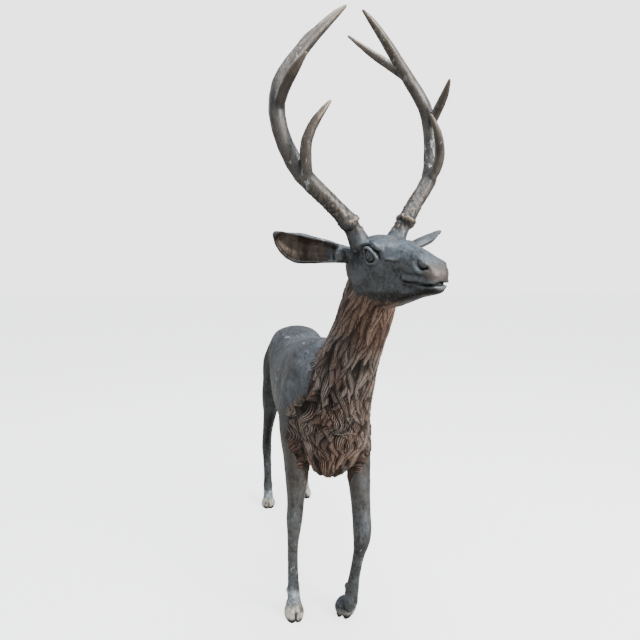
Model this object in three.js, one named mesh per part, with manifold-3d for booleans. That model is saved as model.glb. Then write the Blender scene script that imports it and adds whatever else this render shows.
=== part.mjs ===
// A cast bronze stag, standing with its head turned to its left and its left forefoot on tiptoe.
// Millimetres, +Z up. The stag faces -Y and its own left side is +X. The origin lies on the ground,
// under the centre of the bounding box. The stag is one casting, so it is one mesh: lofted limbs
// joined into one solid.

import * as THREE from "three";
import { mergeVertices } from "three/addons/utils/BufferGeometryUtils.js";
import Module from "manifold-3d";

// ---- Driving dimensions -------------------------------------------------------------------------

const WITHERS = 930; // ground to the top of the shoulders
const MIDLINE = 28; // the trunk's middle plane, along X
const CHEST_HALF = 132; // half the width of the rib cage
const FORE_STANCE = 82; // right fore hoof to the middle plane of the feet
const HIND_STANCE = 102; // the same for the hips and the right hind hoof
const LEFT_HIND_STANCE = 92; // the left hind hoof, which stands further back and nearer the middle
const LEFT_HIND_BACK = 70;
const FORE_HOOF_Y = -378;
const HIND_HOOF_Y = 425;
const HOOF_HEIGHT = 50;
const HOOF_HALF_LENGTH = 40;
const TOE_TAPER = 0.24; // share of its width that a hoof loses at the toe
const TIPTOE = 0.14; // radians that the left fore hoof's heel is lifted
const TOE_IN = -0.6; // radians that the same hoof turns to the middle
const BEAM_RADIUS = 21; // antler beam, just above the burr
const RIGHT_ANTLER_LEAN = -0.01; // share of its height that an antler leans to the middle
const LEFT_ANTLER_LEAN = 0.04;

const HEAD_AT = [104, -690, 1176]; // between the eyes
const HEAD_TURN = 20; // degrees, towards the stag's left
const HEAD_NOD = -2; // degrees, nose up is positive
const HEAD_TILT = 4; // degrees, left side up is positive

// ---- Lofting ------------------------------------------------------------------------------------

/** Catmull-Rom value of a table's rows at index u, column by column. */
function rowAt(rows, u) {
  const last = rows.length - 1;
  const i = Math.min(Math.floor(u), last - 1);
  const t = u - i;
  const p1 = rows[i];
  const p2 = rows[i + 1];
  const p0 = rows[i - 1] ?? p1.map((v, k) => 2 * v - p2[k]);
  const p3 = rows[i + 2] ?? p2.map((v, k) => 2 * v - p1[k]);
  return p1.map((v, k) => {
    const slope = p2[k] - p0[k];
    const bend = 2 * p0[k] - 5 * v + 4 * p2[k] - p3[k];
    const twist = 3 * v - p0[k] - 3 * p2[k] + p3[k];
    return 0.5 * (2 * v + slope * t + bend * t * t + twist * t * t * t);
  });
}

/** A closed geometry from rings of equal point count, each end closed on its middle. */
function skin(rings) {
  const sides = rings[0].length;
  const points = rings.flat();
  const index = [];
  for (let r = 0; r + 1 < rings.length; r++) {
    for (let s = 0; s < sides; s++) {
      const a = r * sides + s;
      const b = r * sides + ((s + 1) % sides);
      index.push(a, b, b + sides, a, b + sides, a + sides);
    }
  }
  for (const [start, turned] of [[0, true], [(rings.length - 1) * sides, false]]) {
    const middle = new THREE.Vector3();
    for (let s = 0; s < sides; s++) middle.addScaledVector(points[start + s], 1 / sides);
    const hub = points.push(middle) - 1;
    for (let s = 0; s < sides; s++) {
      const a = start + s;
      const b = start + ((s + 1) % sides);
      index.push(...(turned ? [hub, b, a] : [hub, a, b]));
    }
  }
  return new THREE.BufferGeometry().setFromPoints(points).setIndex(index);
}

/** Point at angle a on a superellipse: power 1 is an ellipse, smaller is squarer. */
function round(a, wide, high, power) {
  const c = Math.cos(a);
  const s = Math.sin(a);
  return [wide * Math.sign(c) * Math.abs(c) ** power, high * Math.sign(s) * Math.abs(s) ** power];
}

/** Loft along Y through rows of [y, top, bottom, half width, x]. */
function trunk(rows, sides, steps, power = 0.9) {
  const rings = [];
  for (let n = 0; n <= (rows.length - 1) * steps; n++) {
    const [y, top, bottom, half, x] = rowAt(rows, n / steps);
    const ring = [];
    for (let s = 0; s < sides; s++) {
      const [across, up] = round((2 * Math.PI * s) / sides, half, (top - bottom) / 2, power);
      ring.push(new THREE.Vector3(x - across, y, (top + bottom) / 2 + up));
    }
    rings.push(ring);
  }
  return skin(rings);
}

/**
 * Loft along any path through rows of [x, y, z, half width, half depth]. across is the width's
 * direction, and level keeps every ring horizontal.
 */
function limb(rows, { sides = 10, steps = 2, across = [1, 0, 0], level = false } = {}) {
  const rings = [];
  const side = new THREE.Vector3(...across);
  for (let n = 0; n <= (rows.length - 1) * steps; n++) {
    const u = n / steps;
    const [x, y, z, wide, deep] = rowAt(rows, u);
    const before = rowAt(rows, Math.max(u - 0.05, 0));
    const after = rowAt(rows, Math.min(u + 0.05, rows.length - 1));
    const start = new THREE.Vector3(...before.slice(0, 3));
    const along = new THREE.Vector3(...after.slice(0, 3)).sub(start);
    if (level) along.set(0, 0, 1);
    along.normalize();
    const w = side.clone().addScaledVector(along, -side.dot(along)).normalize();
    const d = along.clone().cross(w);
    const ring = [];
    for (let s = 0; s < sides; s++) {
      const [a, b] = round((2 * Math.PI * s) / sides, wide, deep, 1);
      ring.push(new THREE.Vector3(x, y, z).addScaledVector(w, a).addScaledVector(d, b));
    }
    rings.push(ring);
  }
  return skin(rings);
}

/** An ellipsoid. */
function bulge([x, y, z], [rx, ry, rz]) {
  return new THREE.SphereGeometry(1, 9, 6).scale(rx, ry, rz).translate(x, y, z);
}

// ---- Solids -------------------------------------------------------------------------------------

const wasm = await Module();
wasm.setup();

/** A closed three.js geometry as a manifold-3d solid. */
function solid(geometry) {
  const bare = geometry.clone();
  bare.deleteAttribute("normal");
  bare.deleteAttribute("uv");
  const merged = mergeVertices(bare, 1e-3);
  const mesh = new wasm.Mesh({
    numProp: 3,
    vertProperties: merged.attributes.position.array,
    triVerts: new Uint32Array(merged.index.array),
  });
  const made = new wasm.Manifold(mesh);
  if (made.volume() < 0) throw new Error("a loft is inside out");
  return made;
}

/** All geometries as one solid. */
function joined(geometries) {
  return geometries.map(solid).reduce((sum, part) => sum.add(part));
}

/** A manifold-3d solid as a three.js geometry. */
function geometryOf(made) {
  const { numProp, vertProperties, triVerts } = made.getMesh();
  const positions = new Float32Array((vertProperties.length / numProp) * 3);
  for (let v = 0; v * numProp < vertProperties.length; v++) {
    positions.set(vertProperties.subarray(v * numProp, v * numProp + 3), v * 3);
  }
  const geometry = new THREE.BufferGeometry();
  geometry.setAttribute("position", new THREE.BufferAttribute(positions, 3));
  geometry.setIndex(new THREE.BufferAttribute(new Uint32Array(triVerts), 1));
  return geometry;
}

// ---- Trunk and neck -----------------------------------------------------------------------------

function body() {
  const rows = [
    // y, top, bottom, half width, x
    [-520, 760, 600, 60],
    [-490, 830, 560, 95],
    [-430, 895, 530, 120],
    [-330, WITHERS, 515, CHEST_HALF],
    [-200, 918, 510, CHEST_HALF + 8],
    [-40, 892, 520, CHEST_HALF + 14],
    [120, 892, 550, CHEST_HALF + 8],
    [260, 912, 600, CHEST_HALF + 4],
    [370, 905, 640, CHEST_HALF - 4],
    [450, 872, 670, CHEST_HALF - 32],
    [500, 820, 700, CHEST_HALF - 72],
    [518, 780, 730, CHEST_HALF - 110],
  ].map((row) => [...row, MIDLINE]);
  return trunk(rows, 22, 2);
}

function neck() {
  return limb(
    [
      // x, y, z, half width, half depth: from inside the chest up to the skull
      [24, -430, 545, 40, 40],
      [26, -440, 560, 82, 72],
      [34, -432, 620, 104, 116],
      [44, -430, 700, 106, 146],
      [57, -456, 790, 95, 136],
      [71, -502, 880, 86, 110],
      [84, -552, 960, 77, 94],
      [96, -596, 1035, 74, 92],
      [103, -628, 1100, 70, 88],
      [108, -644, 1150, 56, 66],
    ],
    { sides: 18 },
  );
}

// ---- Legs ---------------------------------------------------------------------------------------

/** Narrows a hoof towards its toe, which points along -Y. */
function toeTaper(geometry) {
  const spots = geometry.attributes.position;
  for (let v = 0; v < spots.count; v++) {
    const ahead = Math.max(0, -spots.getY(v) / HOOF_HALF_LENGTH);
    spots.setX(v, spots.getX(v) * (1 - TOE_TAPER * ahead ** 2));
  }
  return geometry;
}

/** Two claws and the cleft between them, about the sole's middle; lean lifts the heel. */
function hoof([x, y, z], { turn = 0, lean = 0, height = HOOF_HEIGHT } = {}) {
  const claws = [-1, 1].map((side) =>
    limb(
      [
        // x, y, z, half width, half length, from the sole up to the coronet
        [side * 14.5, -4, 0, 16, HOOF_HALF_LENGTH - 4],
        [side * 14, -2, height * 0.32, 16, HOOF_HALF_LENGTH - 5],
        [side * 13, 5, height * 0.68, 15, HOOF_HALF_LENGTH - 12],
        [side * 11, 10, height, 11, HOOF_HALF_LENGTH - 20],
      ],
      { steps: 1, level: true },
    ),
  );
  // the web keeps the cleft shallow, as it's modelled and not cut right through
  const web = limb(
    [
      [0, 0, 5, 8, HOOF_HALF_LENGTH - 12],
      [0, 4, height * 0.5, 10, HOOF_HALF_LENGTH - 14],
      [0, 8, height * 0.9, 10, HOOF_HALF_LENGTH - 22],
    ],
    { steps: 1, level: true },
  );
  return [...claws, web].map((piece) =>
    toeTaper(piece).rotateX(lean).rotateZ(turn).translate(x, y, z),
  );
}

function rightForeleg() {
  const x = -FORE_STANCE;
  return [
    limb([
      [x + 42, -330, 820, 50, 70],
      [x + 24, -345, 740, 62, 92],
      [x + 12, -372, 640, 56, 84],
      [x + 8, -396, 560, 44, 64],
      [x + 6, -408, 480, 36, 46],
      [x + 2, -412, 410, 28, 33],
      [x - 2, -416, 362, 27, 30],
      [x - 4, -414, 322, 23, 26],
      [x - 7, -408, 270, 18, 21],
      [x - 7, -404, 200, 17.5, 20],
      [x - 5, -400, 135, 18.5, 21],
      [x - 4, -396, 98, 22, 25],
      [x - 2, -386, 70, 21.5, 22],
      [x, -376, 46, 25, 27],
      [x, -374, 34, 22, 24],
    ]),
    ...hoof([x, FORE_HOOF_Y, 0]),
  ];
}

function leftForeleg() {
  const x = 128;
  return [
    limb([
      [x - 34, -330, 820, 50, 70],
      [x - 20, -350, 740, 62, 92],
      [x - 8, -385, 640, 54, 84],
      [x - 4, -412, 560, 43, 64],
      [x - 4, -438, 480, 37, 46],
      [x - 4, -462, 400, 31, 36],
      [x - 5, -480, 340, 31, 35],
      [x - 6, -478, 298, 27, 30],
      [x - 8, -460, 250, 20, 23],
      [x - 12, -440, 190, 18, 21],
      [x - 17, -428, 135, 19, 22],
      [x - 20, -424, 104, 22, 25],
      [x - 24, -424, 84, 23, 25],
      [x - 26, -428, 62, 23, 25],
      [x - 30, -424, 44, 19, 22],
      [x - 34, -414, 28, 15, 18],
    ]),
    ...hoof([92, -394, HOOF_HALF_LENGTH * Math.sin(TIPTOE)], {
      turn: TOE_IN,
      lean: TIPTOE,
      height: HOOF_HEIGHT * 0.72,
    }),
  ];
}

/** A hind leg; side is -1 on the right, stance and back place its hoof along X and Y. */
function hindleg(side, stance, back) {
  const hip = (mm) => side * (HIND_STANCE - mm);
  const x = side * stance;
  const outward = (mm) => x + side * mm;
  const towardMiddle = MIDLINE * 0.5;
  return [
    limb([
      [hip(58) + towardMiddle, 335, 820, 62, 104],
      [hip(44) + towardMiddle, 350, 740, 80, 134],
      [hip(26) + towardMiddle, 346, 655, 66, 126],
      [hip(12), 328 + back * 0.15, 580, 46, 92],
      [hip(6), 350 + back * 0.3, 500, 32, 60],
      [x, 395 + back * 0.45, 420, 25, 40],
      [outward(2), 445 + back * 0.55, 340, 23, 36],
      [outward(2), 466 + back * 0.6, 290, 24, 38],
      [outward(1), 464 + back * 0.65, 245, 21.5, 28],
      [x, 455 + back * 0.8, 190, 20, 22],
      [x, 446 + back * 0.9, 130, 20, 22],
      [x, 440 + back, 98, 23, 26],
      [x, 432 + back, 70, 22, 22],
      [x, 422 + back, 46, 25, 27],
      [x, 420 + back, 34, 22, 24],
    ]),
    ...hoof([x, HIND_HOOF_Y + back, 0]),
  ];
}

function tail() {
  return limb(
    [
      [MIDLINE, 480, 840, 22, 14],
      [MIDLINE, 512, 825, 26, 15],
      [MIDLINE, 534, 780, 26, 14],
      [MIDLINE, 538, 730, 20, 11],
      [MIDLINE, 534, 700, 8, 5],
    ],
    { sides: 8 },
  );
}

// ---- Head, in its own frame: x to its right, y forwards, z up, origin between the eyes ----------

function skull() {
  const upper = trunk(
    [
      // y, top, bottom, half width, x
      [-108, 10, -40, 22, 0],
      [-96, 34, -60, 44, 0],
      [-60, 56, -80, 60, 0],
      [-10, 66, -82, 67, 0],
      [36, 63, -78, 69, 0],
      [68, 55, -72, 63, 0],
      [100, 45, -64, 51, 0],
      [140, 32, -58, 43, 0],
      [170, 19, -58, 40, 0],
      [196, 3, -56, 37, 0],
      [212, -11, -53, 31, 0],
      [221, -25, -46, 16, 0],
    ],
    16,
    2,
    0.85,
  );
  const jaw = trunk(
    [
      [-70, -50, -96, 20, 0],
      [-50, -40, -120, 38, 0],
      [-10, -40, -126, 48, 0],
      [50, -45, -121, 46, 0],
      [95, -50, -108, 38, 0],
      [150, -48, -89, 32, 0],
      [190, -49, -80, 29, 0],
      [209, -51, -75, 22, 0],
      [218, -57, -69, 10, 0],
    ],
    10,
    2,
    0.9,
  );
  const cheeks = trunk(
    [
      [-80, 20, -72, 40, 0],
      [-62, 34, -92, 53, 0],
      [-36, 44, -112, 60, 0],
      [4, 48, -121, 63, 0],
      [44, 44, -119, 62, 0],
      [76, 36, -112, 56, 0],
      [104, 24, -103, 47, 0],
      [124, 8, -94, 40, 0],
      [136, -16, -80, 28, 0],
    ],
    14,
    1,
  );
  return [upper, jaw, cheeks];
}

/** An ear's blade and the hollow to cut from it. facing is the way that the hollow opens. */
function ear(rows, facing) {
  const open = new THREE.Vector3(...facing).normalize();
  const [root, tip] = [rows[0], rows.at(-1)].map((row) => new THREE.Vector3(...row.slice(0, 3)));
  const across = open.clone().cross(tip.sub(root)).normalize().toArray();
  const hollow = rows.slice(1, -1).map(([x, y, z, wide, deep]) => {
    const middle = new THREE.Vector3(x, y, z).addScaledVector(open, deep * 1.1);
    return [...middle, wide * 0.86, deep * 1.65];
  });
  const [blade, cup] = [rows, hollow].map((path) => limb(path, { across }));
  return { blade, cup };
}

function ears() {
  const right = [
    // x, y, z, half width, half depth, from the skull to the tip
    [52, -46, 14, 21, 16],
    [78, -62, 20, 25, 17],
    [108, -76, 27, 31, 18],
    [144, -92, 33, 36, 19],
    [180, -106, 40, 41, 18],
    [208, -118, 55, 32, 14],
    [228, -126, 74, 16, 9],
    [236, -130, 84, 5, 4],
  ];
  const left = [
    [-52, -46, 8, 18, 16],
    [-82, -48, 10, 26, 17],
    [-116, -46, 18, 37, 18],
    [-156, -48, 28, 44, 19],
    [-196, -52, 40, 43, 18],
    [-230, -55, 54, 31, 13],
    [-256, -53, 66, 14, 8],
    [-268, -52, 72, 5, 4],
  ];
  return [ear(right, [0.45, 0.88, -0.1]), ear(left, [-0.3, 0.2, -0.9])];
}

/** One antler, from inside the skull. side is 1 on the right; lean draws it to the middle. */
function antler(side, lean, rearTine) {
  const leant = (x, z) => side * (x - lean * Math.max(z - 60, 0));
  const placed = (rows) => rows.map(([x, y, z, ...size]) => [leant(x, z), y, z, ...size]);
  const r = BEAM_RADIUS;
  const beam = [
    [50, -8, 36, r + 12, r + 10],
    [66, -6, 62, r + 5, r + 4],
    [84, -3, 88, r, r],
    [92, -1, 97, r + 7, r + 6],
    [98, -2, 105, r + 2, r + 2],
    [140, -12, 150, r, r],
    [202, -24, 210, r, r + 2],
    [232, -45, 280, r - 2, r],
    [243, -56, 350, r - 3, r],
    [229, -60, 415, r - 4, r],
    [190, -66, 470, r - 5, r - 2],
    [146, -66, 520, r - 6, r - 5],
    [104, -62, 562, r - 8, r - 8],
    [62, -60, 600, r - 12, r - 12],
    [32, -60, 624, 3, 3],
  ];
  const brow = [
    [190, -22, 200, 14, 14],
    [206, 2, 236, 15, 15],
    [208, 16, 280, 13.5, 13.5],
    [186, 30, 326, 10.5, 10.5],
    [154, 40, 364, 3.5, 3.5],
  ];
  const second = [
    [240, -56, 355, 13, 13],
    [240, -26, 390, 14, 14],
    [231, 16, 424, 11.5, 11.5],
    [216, 50, 452, 3.5, 3.5],
  ];
  return [
    limb(placed(beam), { across: [0, 1, 0] }),
    ...[brow, second, rearTine].map((tine) => limb(placed(tine), { sides: 8, across: [0, 1, 0] })),
  ];
}

function antlers() {
  const rightRear = [
    [184, -66, 478, 12, 12],
    [152, -92, 516, 13, 13],
    [108, -126, 562, 10.5, 10.5],
    [62, -158, 606, 3.5, 3.5],
  ];
  const leftRear = [
    [184, -66, 478, 12, 12],
    [162, -106, 520, 13, 13],
    [138, -170, 575, 10.5, 10.5],
    [112, -240, 642, 3.5, 3.5],
  ];
  return [...antler(1, RIGHT_ANTLER_LEAN, rightRear), ...antler(-1, LEFT_ANTLER_LEAN, leftRear)];
}

function head() {
  const eyes = [-1, 1].map((side) => bulge([side * 56, 50, 8], [12, 19, 16]));
  const brows = [-1, 1].map((side) => bulge([side * 52, 44, 30], [18, 30, 16]));
  const blades = ears();
  const made = joined([...skull(), ...eyes, ...brows, ...antlers(), ...blades.map((e) => e.blade)]);
  return blades.reduce((sum, e) => sum.subtract(solid(e.cup)), made);
}

function placedHead() {
  const euler = new THREE.Euler(
    THREE.MathUtils.degToRad(HEAD_NOD),
    THREE.MathUtils.degToRad(HEAD_TILT),
    THREE.MathUtils.degToRad(180 + HEAD_TURN),
    "ZXY",
  );
  return new THREE.Matrix4().compose(
    new THREE.Vector3(...HEAD_AT),
    new THREE.Quaternion().setFromEuler(euler),
    new THREE.Vector3(1, 1, 1),
  );
}

// ---- The casting --------------------------------------------------------------------------------

/** Moves a geometry so that its origin is on the ground, under the centre of its bounding box. */
function grounded(geometry) {
  geometry.computeBoundingBox();
  const { min, max } = geometry.boundingBox;
  return geometry.translate(-(min.x + max.x) / 2, -(min.y + max.y) / 2, -min.z);
}

const figure = joined([
  body(),
  neck(),
  ...rightForeleg(),
  ...leftForeleg(),
  ...hindleg(-1, HIND_STANCE, 0),
  ...hindleg(1, LEFT_HIND_STANCE, LEFT_HIND_BACK),
  tail(),
]);
const whole = figure.add(solid(geometryOf(head()).applyMatrix4(placedHead())));

const bronze = new THREE.MeshStandardMaterial({ color: 0x3f4247, roughness: 0.5, metalness: 0.7 });
const deer = new THREE.Mesh(grounded(geometryOf(whole)), bronze);
deer.name = "deer";

const stag = new THREE.Group();
stag.add(deer);
export default stag;
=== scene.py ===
"""A life-size cast bronze stag: its mane, face, antlers and hooves are sculpted onto the CAD casting, which
gives the pose and the proportions, and its patina, with painted light and painted shade in it, is procedural.
Metres, +Z up; the stag faces -Y."""

import math

import bpy
import numpy as np
from mathutils import Euler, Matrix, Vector
from mathutils.kdtree import KDTree


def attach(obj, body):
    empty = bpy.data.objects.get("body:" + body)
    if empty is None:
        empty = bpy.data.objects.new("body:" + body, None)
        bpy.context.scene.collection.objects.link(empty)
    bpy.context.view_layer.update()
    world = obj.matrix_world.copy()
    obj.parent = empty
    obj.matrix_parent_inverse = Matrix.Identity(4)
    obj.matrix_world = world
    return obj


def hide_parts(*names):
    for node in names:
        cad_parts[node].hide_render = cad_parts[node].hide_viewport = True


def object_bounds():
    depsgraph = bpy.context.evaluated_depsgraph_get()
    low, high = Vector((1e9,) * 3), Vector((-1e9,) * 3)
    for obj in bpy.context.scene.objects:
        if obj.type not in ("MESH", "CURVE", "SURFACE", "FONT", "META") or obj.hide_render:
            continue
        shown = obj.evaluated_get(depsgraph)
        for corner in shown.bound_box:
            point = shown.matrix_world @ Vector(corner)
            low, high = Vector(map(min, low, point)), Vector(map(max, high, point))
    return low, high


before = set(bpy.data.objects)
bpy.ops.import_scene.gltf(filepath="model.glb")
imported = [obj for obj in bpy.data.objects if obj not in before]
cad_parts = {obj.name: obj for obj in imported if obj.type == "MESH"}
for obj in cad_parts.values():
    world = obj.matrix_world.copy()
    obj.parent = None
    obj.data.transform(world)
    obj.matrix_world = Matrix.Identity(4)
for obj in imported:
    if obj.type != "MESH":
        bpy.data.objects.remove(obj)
CAD_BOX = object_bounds()
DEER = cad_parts["deer"]

VOXEL = 0.0026
MOST_TRIANGLES = 196000
SMOOTHING_PASSES = 60

# Where the drawing's own origin, on the ground under the middle of the fore feet's stance, lies in the frame.
DATUM = np.array([-0.0754, 0.1753, 0.0])

# The head's own axes: x to its right, y forwards and z up, from the point between the eyes.
HEAD_AT = np.array([0.104, -0.690, 1.176])
HEAD_AXES = np.array(Euler((math.radians(-2), math.radians(4), math.radians(200)), "YXZ").to_matrix())

# The neck's middle line and radii, from the brisket up: x, y, z, half width, half depth.
NECK = np.array([
    [0.024, -0.430, 0.530, 0.060, 0.060],
    [0.026, -0.440, 0.560, 0.084, 0.080],
    [0.034, -0.432, 0.620, 0.104, 0.116],
    [0.044, -0.430, 0.700, 0.106, 0.146],
    [0.057, -0.456, 0.790, 0.095, 0.136],
    [0.071, -0.502, 0.880, 0.086, 0.110],
    [0.084, -0.552, 0.960, 0.077, 0.094],
    [0.096, -0.596, 1.035, 0.074, 0.092],
    [0.103, -0.628, 1.100, 0.070, 0.088],
    [0.108, -0.660, 1.160, 0.066, 0.080],
])


# ---- Stage ----

LENS_MM = 27
CAMERA_AT = (-0.283, -1.889, 1.130)
CAMERA_TURN = (math.radians(85), 0, math.radians(-10.85))

FLOOR_SIZE = 60
FLOOR_SEEN = {
    "Base Color": (0.90, 0.90, 0.90, 1),
    "Roughness": 0.9,
    "Specular IOR Level": 0.1,
    "Emission Color": (1, 1, 1, 1),
    "Emission Strength": 2.0,
}
FLOOR_LIT = (0.42, 0.40, 0.37, 1)

SKY_SEEN = {"Color": (1, 1, 1, 1), "Strength": 3.0}
SKY_LIT_STRENGTH = 1.30
SKY_BRIGHT_SIDE = (0.50, -0.30, 0.81)
SKY_DIM = (0.30, (0.30, 0.30, 0.31, 1))
SKY_BRIGHT = (0.95, (0.90, 0.96, 1.0, 1))

LIGHTS_AIM = (0, -0.2, 0.9)
# Each light's name, place, size, watts and colour.
LIGHTS = [
    ("overhead", (0.3, -0.6, 4.0), 2.4, 130, (0.92, 0.97, 1.0)),
    ("front_right", (2.6, -3.0, 2.6), 1.8, 200, (1.0, 0.97, 0.92)),
    ("back_left", (-2.6, 1.6, 2.8), 1.4, 22, (0.88, 0.94, 1.0)),
]


def put(node, values):
    """Sets a node's unlinked inputs by name."""
    for name, value in values.items():
        node.inputs[name].default_value = value


def make_camera():
    data = bpy.data.cameras.new("camera")
    data.lens = LENS_MM
    camera = bpy.data.objects.new("camera", data)
    camera.location = Vector(CAMERA_AT) + Vector(DATUM)
    camera.rotation_euler = CAMERA_TURN
    bpy.context.collection.objects.link(camera)
    bpy.context.scene.camera = camera


def seen_or_lit(tree, lit, seen):
    """One shader for what the camera sees, another for the light that the rest of the scene gets."""
    choose = tree.nodes.new("ShaderNodeMixShader")
    tree.links.new(tree.nodes.new("ShaderNodeLightPath").outputs["Is Camera Ray"], choose.inputs["Fac"])
    tree.links.new(lit.outputs[0], choose.inputs[1])
    tree.links.new(seen.outputs[0], choose.inputs[2])
    return choose.outputs["Shader"]


def make_floor():
    bpy.ops.mesh.primitive_plane_add(size=FLOOR_SIZE)
    floor = bpy.context.object
    floor.name = "floor"
    paint = bpy.data.materials.new("floor")
    paint.use_nodes = True
    tree = paint.node_tree
    seen = tree.nodes["Principled BSDF"]
    put(seen, FLOOR_SEEN)
    lit = tree.nodes.new("ShaderNodeBsdfDiffuse")
    put(lit, {"Color": FLOOR_LIT})
    tree.links.new(seen_or_lit(tree, lit, seen), tree.nodes["Material Output"].inputs["Surface"])
    floor.data.materials.append(paint)


def make_sky():
    """White behind the stag; as a light, bright overhead and to the right, dim low down on the left."""
    world = bpy.data.worlds.new("studio")
    world.use_nodes = True
    tree = world.node_tree
    seen = tree.nodes["Background"]
    put(seen, SKY_SEEN)
    lit = tree.nodes.new("ShaderNodeBackground")
    put(lit, {"Strength": SKY_LIT_STRENGTH})
    along = tree.nodes.new("ShaderNodeVectorMath")
    along.operation = "DOT_PRODUCT"
    along.inputs[1].default_value = SKY_BRIGHT_SIDE
    tree.links.new(tree.nodes.new("ShaderNodeTexCoord").outputs["Generated"], along.inputs[0])
    ramp = tree.nodes.new("ShaderNodeValToRGB")
    for stop, (position, colour) in zip(ramp.color_ramp.elements, (SKY_DIM, SKY_BRIGHT)):
        stop.position = position
        stop.color = colour
    shift = tree.nodes.new("ShaderNodeMapRange")
    put(shift, {"From Min": -1})
    tree.links.new(along.outputs["Value"], shift.inputs["Value"])
    tree.links.new(shift.outputs["Result"], ramp.inputs["Fac"])
    tree.links.new(ramp.outputs["Color"], lit.inputs["Color"])
    tree.links.new(seen_or_lit(tree, lit, seen), tree.nodes["World Output"].inputs["Surface"])
    bpy.context.scene.world = world


def make_light(name, place, size, watts, colour):
    data = bpy.data.lights.new(name, "AREA")
    data.size = size
    data.energy = watts
    data.color = colour
    light = bpy.data.objects.new(name, data)
    light.location = place
    light.rotation_euler = (Vector(LIGHTS_AIM) - Vector(place)).to_track_quat("-Z", "Y").to_euler()
    bpy.context.collection.objects.link(light)


# ---- Numbers on many points ----

def step(x, low, high):
    """0 below low, 1 above high, smooth between. low may be the larger."""
    t = np.clip((x - low) / (high - low), 0, 1)
    return t * t * (3 - 2 * t)


def bell(x, width):
    """1 where x is 0, falling away to 0 on both sides."""
    return np.exp(-((x / width) ** 2))


def hashed(cells, seed):
    """A repeatable random number from 0 to 1 for each row of whole numbers."""
    mixed = np.full(len(cells), (seed * 2654435761) % 2**32, dtype=np.uint64)
    for column, prime in zip(cells.T, (73856093, 19349663, 83492791)):
        mixed ^= (column.astype(np.int64) * prime).astype(np.uint64) & np.uint64(0xFFFFFFFF)
        mixed = (mixed * np.uint64(2246822519)) & np.uint64(0xFFFFFFFF)
        mixed ^= mixed >> np.uint64(15)
    return (mixed & np.uint64(0xFFFFFF)).astype(float) / 0xFFFFFF


def noise(points, size, seed=0):
    """Smooth value noise from -1 to 1 with features about as large as size."""
    scaled = points / size
    base = np.floor(scaled)
    part = scaled - base
    part = part * part * (3 - 2 * part)
    total = np.zeros(len(points))
    axes = points.shape[1]
    for corner in range(2**axes):
        shift = np.array([(corner >> axis) & 1 for axis in range(axes)])
        weight = np.prod(np.where(shift, part, 1 - part), axis=1)
        total += weight * hashed(base + shift, seed)
    return 2 * total - 1


def bump(points, centre, radii):
    """1 at centre, falling off to 0 in a bell of the given radii."""
    return np.exp(-(((points - np.array(centre)) / np.array(radii)) ** 2).sum(axis=1))


def to_path(points, path):
    """Distance from each point to a polyline, and how far along it, 0 to 1, the nearest point lies."""
    path = np.array(path, dtype=float)
    best = np.full(len(points), 1e9)
    along = np.zeros(len(points))
    for i, (a, b) in enumerate(zip(path[:-1], path[1:])):
        edge = b - a
        t = np.clip(((points - a) @ edge) / (edge @ edge), 0, 1)
        gap = np.linalg.norm(points - a - t[:, None] * edge, axis=1)
        nearer = gap < best
        best = np.where(nearer, gap, best)
        along = np.where(nearer, (i + t) / (len(path) - 1), along)
    return best, along


def curve(path, count=24):
    """A Catmull-Rom curve through a few points."""
    path = np.array(path, dtype=float)
    padded = np.vstack([2 * path[0] - path[1], path, 2 * path[-1] - path[-2]])
    made = []
    for u in np.linspace(0, len(path) - 1, count):
        i = min(int(u), len(path) - 2)
        t = u - i
        p0, p1, p2, p3 = padded[i:i + 4]
        made.append(0.5 * (2 * p1 + (p2 - p0) * t + (2 * p0 - 5 * p1 + 4 * p2 - p3) * t**2
                           + (3 * p1 - p0 - 3 * p2 + p3) * t**3))
    return np.array(made)


# ---- Extra solids, joined to the casting before it is made one skin ----

def from_head(points):
    """Points in the head's axes, in the drawing's."""
    return np.array(points) @ HEAD_AXES.T + HEAD_AT


def to_head(points):
    return (points - HEAD_AT) @ HEAD_AXES


def round_rings(rings, sides):
    """The number of each vertex on some rings, and of the next one round its ring."""
    return [(r * sides + s, r * sides + (s + 1) % sides) for r in range(rings) for s in range(sides)]


def ball(centre, radii, sides=20):
    """Vertices and quads of an ellipsoid."""
    rows = sides // 2
    verts = []
    for r in range(rows + 1):
        tilt = math.pi * r / rows
        for s in range(sides):
            turn = 2 * math.pi * s / sides
            verts.append((math.sin(tilt) * math.cos(turn), math.sin(tilt) * math.sin(turn), math.cos(tilt)))
    faces = [(a, a + sides, b + sides, b) for a, b in round_rings(rows, sides)]
    return np.array(verts) * np.array(radii) + np.array(centre), faces


ACROSS_NO_TUBE = [0.31, 0.17, 0.93]  # a direction that no tube follows


def tube(path, radii, sides=10):
    """Vertices and faces of a round tube along a path, with a radius for each of its points."""
    path = np.array(path)
    verts = []
    for i, (point, radius) in enumerate(zip(path, radii)):
        along = path[min(i + 1, len(path) - 1)] - path[max(i - 1, 0)]
        along /= np.linalg.norm(along)
        side = np.cross(along, ACROSS_NO_TUBE)
        side /= np.linalg.norm(side)
        other = np.cross(along, side)
        for s in range(sides):
            turn = 2 * math.pi * s / sides
            verts.append(point + radius * (math.cos(turn) * side + math.sin(turn) * other))
    faces = [(a, b, b + sides, a + sides) for a, b in round_rings(len(path) - 1, sides)]
    faces.append(tuple(range(sides))[::-1])
    faces.append(tuple(range((len(path) - 1) * sides, len(path) * sides)))
    return np.array(verts), faces


def taper(count, middle, ends):
    """Radii that swell from ends to middle and back."""
    return ends + (middle - ends) * np.sin(np.linspace(0, math.pi, count)) ** 0.7


# The right eye's middle and its opening's half length and half height; its front corner is the lower.
EYE = np.array([0.060, 0.045, 0.014])
EYE_OPEN = (0.0172, 0.0148)
EYE_SLANT = 0.30
LID_POINTS = 24


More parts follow.
